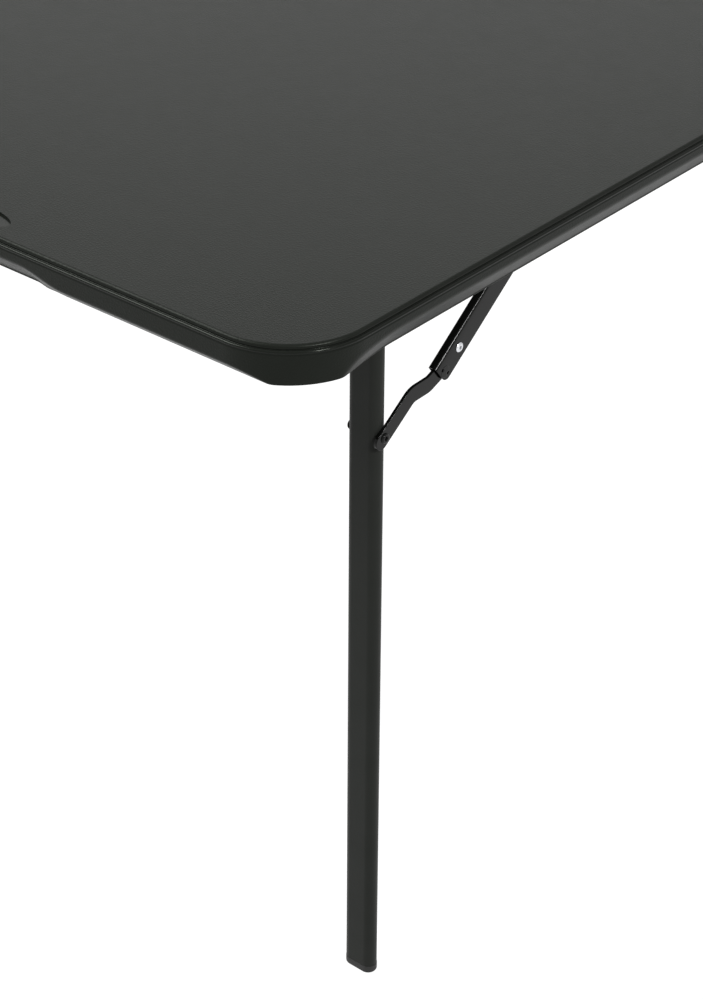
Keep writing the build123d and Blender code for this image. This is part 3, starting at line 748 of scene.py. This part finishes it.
def folded_channel(along, across, through):
    """The flat blank folded up at both sides of its web: beyond the web's flat, an arc of the fold radius
    through a right angle, and then straight. Through is measured outwards from the middle of the sheet."""
    beyond = np.abs(across) - web_half
    angle = np.clip(beyond / fold_radius, 0, np.pi / 2)
    straight = np.maximum(beyond - fold_radius * np.pi / 2, 0)
    side = np.where(beyond < 0, across, np.sign(across) * (web_half + (fold_radius + through) * np.sin(angle)))
    depth = fold_radius - (fold_radius + through) * np.cos(angle) + straight - web_offset + sheet / 2
    place = pivot[1:] + along[:, None] * channel_direction + depth[:, None] * from_web
    return np.column_stack([brace_middle + side, place])


if from_web[1] > 0:
    from_web = -from_web
fold_lines = np.linspace(web_half, flange_start, 4).tolist()
neck = across_blank(-open_edge)


def half_blank(edge, mouth_radius):
    """Half of the channel's blank, from its mouth round to the pivot end: the web's end, the flange's open
    edge with a round corner at the mouth, a round end about the pivot, and a slant back to the web."""
    far = across_blank(edge)
    middle = across_blank(0.0)
    rise = np.arcsin(edge / open_edge)
    angle = np.linspace(max(rise, np.pi - rise), 1.5 * np.pi, 18)
    round_end = np.column_stack([open_edge * np.cos(angle), middle + open_edge * np.sin(angle)])
    turn = np.linspace(0, np.pi / 2, 9)
    turned = np.column_stack([np.cos(turn), np.sin(turn)])
    corner = np.array((mouth, far)) - mouth_radius + mouth_radius * turned
    mouth_end = np.column_stack([np.full(5, mouth), [0.0] + fold_lines])
    slant_share = (neck - np.array(fold_lines[::-1])) / (neck - fold_lines[0])
    slant = np.column_stack([slant_share * web_start, fold_lines[::-1]])
    return np.concatenate([mouth_end, corner, round_end, slant, [(web_start, 0.0)]])


outer_half = half_blank(open_edge, 6.0)
inner_half = half_blank(inner_edge, 5.9) * (1, -1)
blank = np.concatenate([outer_half, inner_half[::-1][1:-1]])
channel_holes = [
    round_hole((along, side * across_blank(0.0)), rivet_hole) for along in (0.0, channel_length) for side in (1, -1)
]
slant_ends = {line: (neck - line) / (neck - fold_lines[0]) * web_start for line in fold_lines}
channel_creases = [
    ((slant_ends[line], side * line), (mouth, side * line)) for line in fold_lines for side in (1, -1)
]
channel = blanked([blank] + channel_holes, sheet, 0.3, folded_channel, channel_creases)
for corner in corners:
    surfaces = [(at_corner(points, corner), faces) for points, faces in channel]
    body, replaced = "channel_" + corner, ["brace_channel_" + corner]
    add_piece("channel_" + corner, surfaces, body, replaced, brace_paint, 40)

# ---- Rivets and pins of the braces ----
# Semi-tubular steel rivets join link and leg, a staked pin joins link and channel, and a zinc-plated
# rivet holds the lock spring. Apart from that one they are set first and enamelled with the brace.


def turned_part(profile, centre, axis, relief=None, turns=40):
    """A round part: each (radius, height) of its profile carried round an axis through its centre. A relief
    is added to the height as a function of the two distances from the axis."""
    axis = np.array(axis, float)
    across = np.array((0.0, 0.0, 1.0)) if abs(axis[2]) < 0.5 else np.array((1.0, 0.0, 0.0))
    sideways = np.cross(axis, across)
    angle = np.arange(turns) * 2 * np.pi / turns
    radius, height = [np.repeat(part, turns) for part in np.array(profile, float).T]
    first, second = radius * np.tile(np.cos(angle), len(profile)), radius * np.tile(np.sin(angle), len(profile))
    if relief is not None:
        height = height + np.where(height > 0, relief(first, second), 0)
    points = np.array(centre) + height[:, None] * axis + first[:, None] * across + second[:, None] * sideways
    return points, grid_faces(len(profile), turns)


rivet_head = [
    (0.0, -0.6), (1.4, -0.55), (1.7, -0.3), (1.85, 0.7), (2.05, 1.15), (2.5, 1.5), (3.2, 1.6), (3.9, 1.42),
    (4.35, 0.95), (4.6, 0.4), (4.6, 0.0), (3.0, 0.0),
]
link_face = np.array((brace_middle + link_thick / 2, *leg_rivet))
leg_back = np.array((leg_low[0], *leg_rivet))
leg_shank = leg_wide + 0.2
link_half = turned_part(rivet_head + [(3.0, -link_thick), (0.0, -link_thick)], link_face, (1, 0, 0))
leg_half = turned_part(rivet_head + [(3.0, -leg_shank), (0.0, -leg_shank)], leg_back, (-1, 0, 0))


def staked(first, second):
    """Two punch marks, one on each side of the middle, that spread the pin in its hole."""
    squares = [(first - 2.4 * side) ** 2 + (second - 3.5 * side) ** 2 for side in (-1, 1)]
    return sum(-0.8 * np.exp(-((square / 1.8) ** 2)) for square in squares)


pin_radii = [0.0, 1.0, 2.0, 2.6, 3.0, 3.3, 3.6, 3.9, 4.2, 4.5, 4.8, 5.0]
pin_face = [(radius, 0.22) for radius in pin_radii] + [
    (5.2, 0.16), (5.35, 0.05), (5.4, 0.0), (3.0, 0.0), (3.0, -9.2), (2.8, -9.3), (0.0, -9.3),
]
elbow_face = elbow + (channel_half, 0, 0)
elbow_pin = turned_part(pin_face, elbow_face, (1, 0, 0), staked, 72)
spring_rivet_along = channel_length - 23.7
spring_rivet_place = pivot[1:] + spring_rivet_along * channel_direction - 1.2 * from_web
spring_face = np.array((brace_middle + channel_half, *spring_rivet_place))
spring_profile = [
    (0.0, -1.2), (1.1, -1.15), (1.3, -0.9), (1.4, 1.1), (1.55, 1.42), (1.9, 1.58), (2.4, 1.56), (3.1, 1.4),
    (3.8, 1.02), (4.2, 0.62), (4.38, 0.35), (4.3, 0.22), (3.6, 0.18), (3.5, 0.0), (2.4, 0.0),
    (2.4, -1.7), (3.4, -1.7), (3.4, -2.3), (3.0, -2.6), (0.0, -2.6),
]
spring_rivet = turned_part(spring_profile, spring_face, (1, 0, 0))
zinc, tree, shader, place = finish_material("bright zinc plate", (0.72, 0.73, 0.75), 0.24, 0.5)
shader.inputs["Metallic"].default_value = 1.0
raised(tree, shader, mottle(tree, place, 900, 3, 0, 1), 0.00002)
tree.links.new(mottle(tree, place, 500, 3, 0.16, 0.34), shader.inputs["Roughness"])
tinted(tree, shader, place, 260, (0.62, 0.63, 0.66), (0.80, 0.81, 0.83))
for corner in corners:
    for name, part, body, slot, replaced, paint in (
        ("link_rivet_head_", link_half, "link_", "brace_paint", "link_rivet_", brace_paint),
        ("leg_rivet_head_", leg_half, "leg_", "brace_paint", "leg_rivet_", brace_paint),
        ("staked_pin_", elbow_pin, "channel_", "brace_paint", "elbow_pin_", brace_paint),
        ("zinc_rivet_", spring_rivet, "channel_", "bright_zinc", "spring_rivet_", zinc),
    ):
        surfaces = [(at_corner(part[0], corner), part[1])]
        add_piece(name + corner, surfaces, body + corner, [replaced + corner], paint)

# ---- Hinges, brackets and lock springs ----
# Under the top, pressed hinge plates with two ears carry the cast knuckles of the legs, and an angle
# bracket carries each channel. They are enamelled black; the lock springs are blued leaves of spring steel.


def softened(name, node, body, material, edge):
    """A copy of a solid with its doubles merged, its flat faces made whole and its edges worn round."""
    mesh = frame["nodes"][node].data.copy()
    mesh.name = name
    shell = bmesh.new()
    shell.from_mesh(mesh)
    bmesh.ops.remove_doubles(shell, verts=shell.verts, dist=0.000002)
    bmesh.ops.dissolve_limit(shell, angle_limit=radians(0.5), verts=shell.verts, edges=shell.edges)
    shell.to_mesh(mesh)
    shell.free()
    mesh.shade_smooth()
    mesh.set_sharp_from_angle(angle=radians(30))
    mesh.materials.clear()
    mesh.materials.append(material)
    piece = bpy.data.objects.new(name, mesh)
    bpy.context.collection.objects.link(piece)
    rounding = piece.modifiers.new("worn edges", "BEVEL")
    rounding.width = edge
    rounding.segments = 2
    rounding.limit_method = "ANGLE"
    rounding.angle_limit = radians(40)
    rounding.harden_normals = True
    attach(piece, body)
    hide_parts(node)
    return piece


hinge_paint = powder_coat("hinge enamel", (0.010, 0.010, 0.010), (0.014, 0.014, 0.014), 0.3, 0.45, 0.00002)
blued_steel, tree, shader, place = finish_material("blued spring steel", (0.10, 0.105, 0.12), 0.35, 0.5)
shader.inputs["Metallic"].default_value = 1.0
raised(tree, shader, mottle(tree, place, 700, 3, 0, 1), 0.00001)
tree.links.new(mottle(tree, place, 300, 3, 0.28, 0.42), shader.inputs["Roughness"])
tinted(tree, shader, place, 120, (0.07, 0.075, 0.09), (0.13, 0.135, 0.15))
for corner in corners:
    leg, channel_body = "leg_" + corner, "channel_" + corner
    softened("hinge_plate_" + corner, "hinge_mount_" + corner, "top", hinge_paint, 0.0004)
    softened("brace_bracket_" + corner, "brace_mount_" + corner, "top", hinge_paint, 0.0004)
    softened("cast_knuckle_" + corner, "hinge_knuckle_" + corner, leg, hinge_paint, 0.0005)
    softened("leaf_spring_" + corner, "lock_spring_" + corner, channel_body, blued_steel, 0.00012)
    frame["nodes"]["knuckle_rivet_" + corner].material_slots[0].material = hinge_paint

# ---- Hinge pins, brace pins and screws ----
# The hinge pins are zinc-plated rivets, upset at both ends, and the brace pins are enamelled. The plates
# and brackets are held by zinc-plated pan-head screws with a cross recess, driven up into the resin.
frame["nodes"]["hinge_pins"].material_slots[0].material = zinc
frame["nodes"]["brace_pins"].material_slots[0].material = brace_paint
screw_head = [
    (0.0, 1.62), (0.35, 1.62), (0.6, 1.62), (0.85, 1.62), (1.2, 1.62), (1.6, 1.6), (2.0, 1.55), (2.4, 1.46),
    (2.8, 1.32), (3.2, 1.1), (3.55, 0.8), (3.75, 0.45), (3.8, 0.1), (3.8, 0.0), (2.0, 0.0),
]


def cross_recess(first, second):
    """The driver's recess: two crossed slots, deepest where they meet, fading out towards the rim."""
    narrow = np.minimum(np.abs(first), np.abs(second))
    far = np.maximum(np.abs(first), np.abs(second))
    return -1.1 * np.clip((0.62 - narrow) / 0.2, 0, 1) * np.clip((2.3 - far) / 0.5, 0, 1)


def screws(name, node, places, seat):
    """All the screws of one kind: heads under their seat, shanks up into the top, at places in plan."""
    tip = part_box(node)[1][2] * 1000
    shank = [(1.95, 0.0), (1.95, seat - tip + 2.0), (0.4, seat - tip), (0.0, seat - tip)]
    surfaces = []
    for corner in corners:
        for x, y in places:
            part = turned_part(screw_head + shank, (x, y, seat), (0, 0, -1), cross_recess, 32)
            surfaces.append((at_corner(part[0], corner), part[1]))
    add_piece(name, surfaces, "top", [node], zinc)


screw_seat = 2.0
bracket_sheet = 2.0
screws_low = np.array(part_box("hinge_screws")[0]) * 1000
hinge_middle = (hinge_low + hinge_high)[:2] / 2
screw_margin = 4.5
hinge_reach = (hinge_high - hinge_low)[:2] / 2 - screw_margin
hinge_places = [hinge_middle + hinge_reach * (across, along) for across in (-1, 1) for along in (-1, 1)]
screws("hinge_plate_screws", "hinge_screws", hinge_places, screws_low[2] + screw_seat)
bracket_low, bracket_high = [np.array(corner) * 1000 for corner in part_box("brace_mount_front_right")]
bracket_places = [
    (bracket_high[0] - 12.0, bracket_high[1] - 22.0),
    (bracket_high[0] - 20.0, bracket_high[1] - 8.0),
]
screws("bracket_screws", "mount_screws", bracket_places, underside - bracket_sheet)
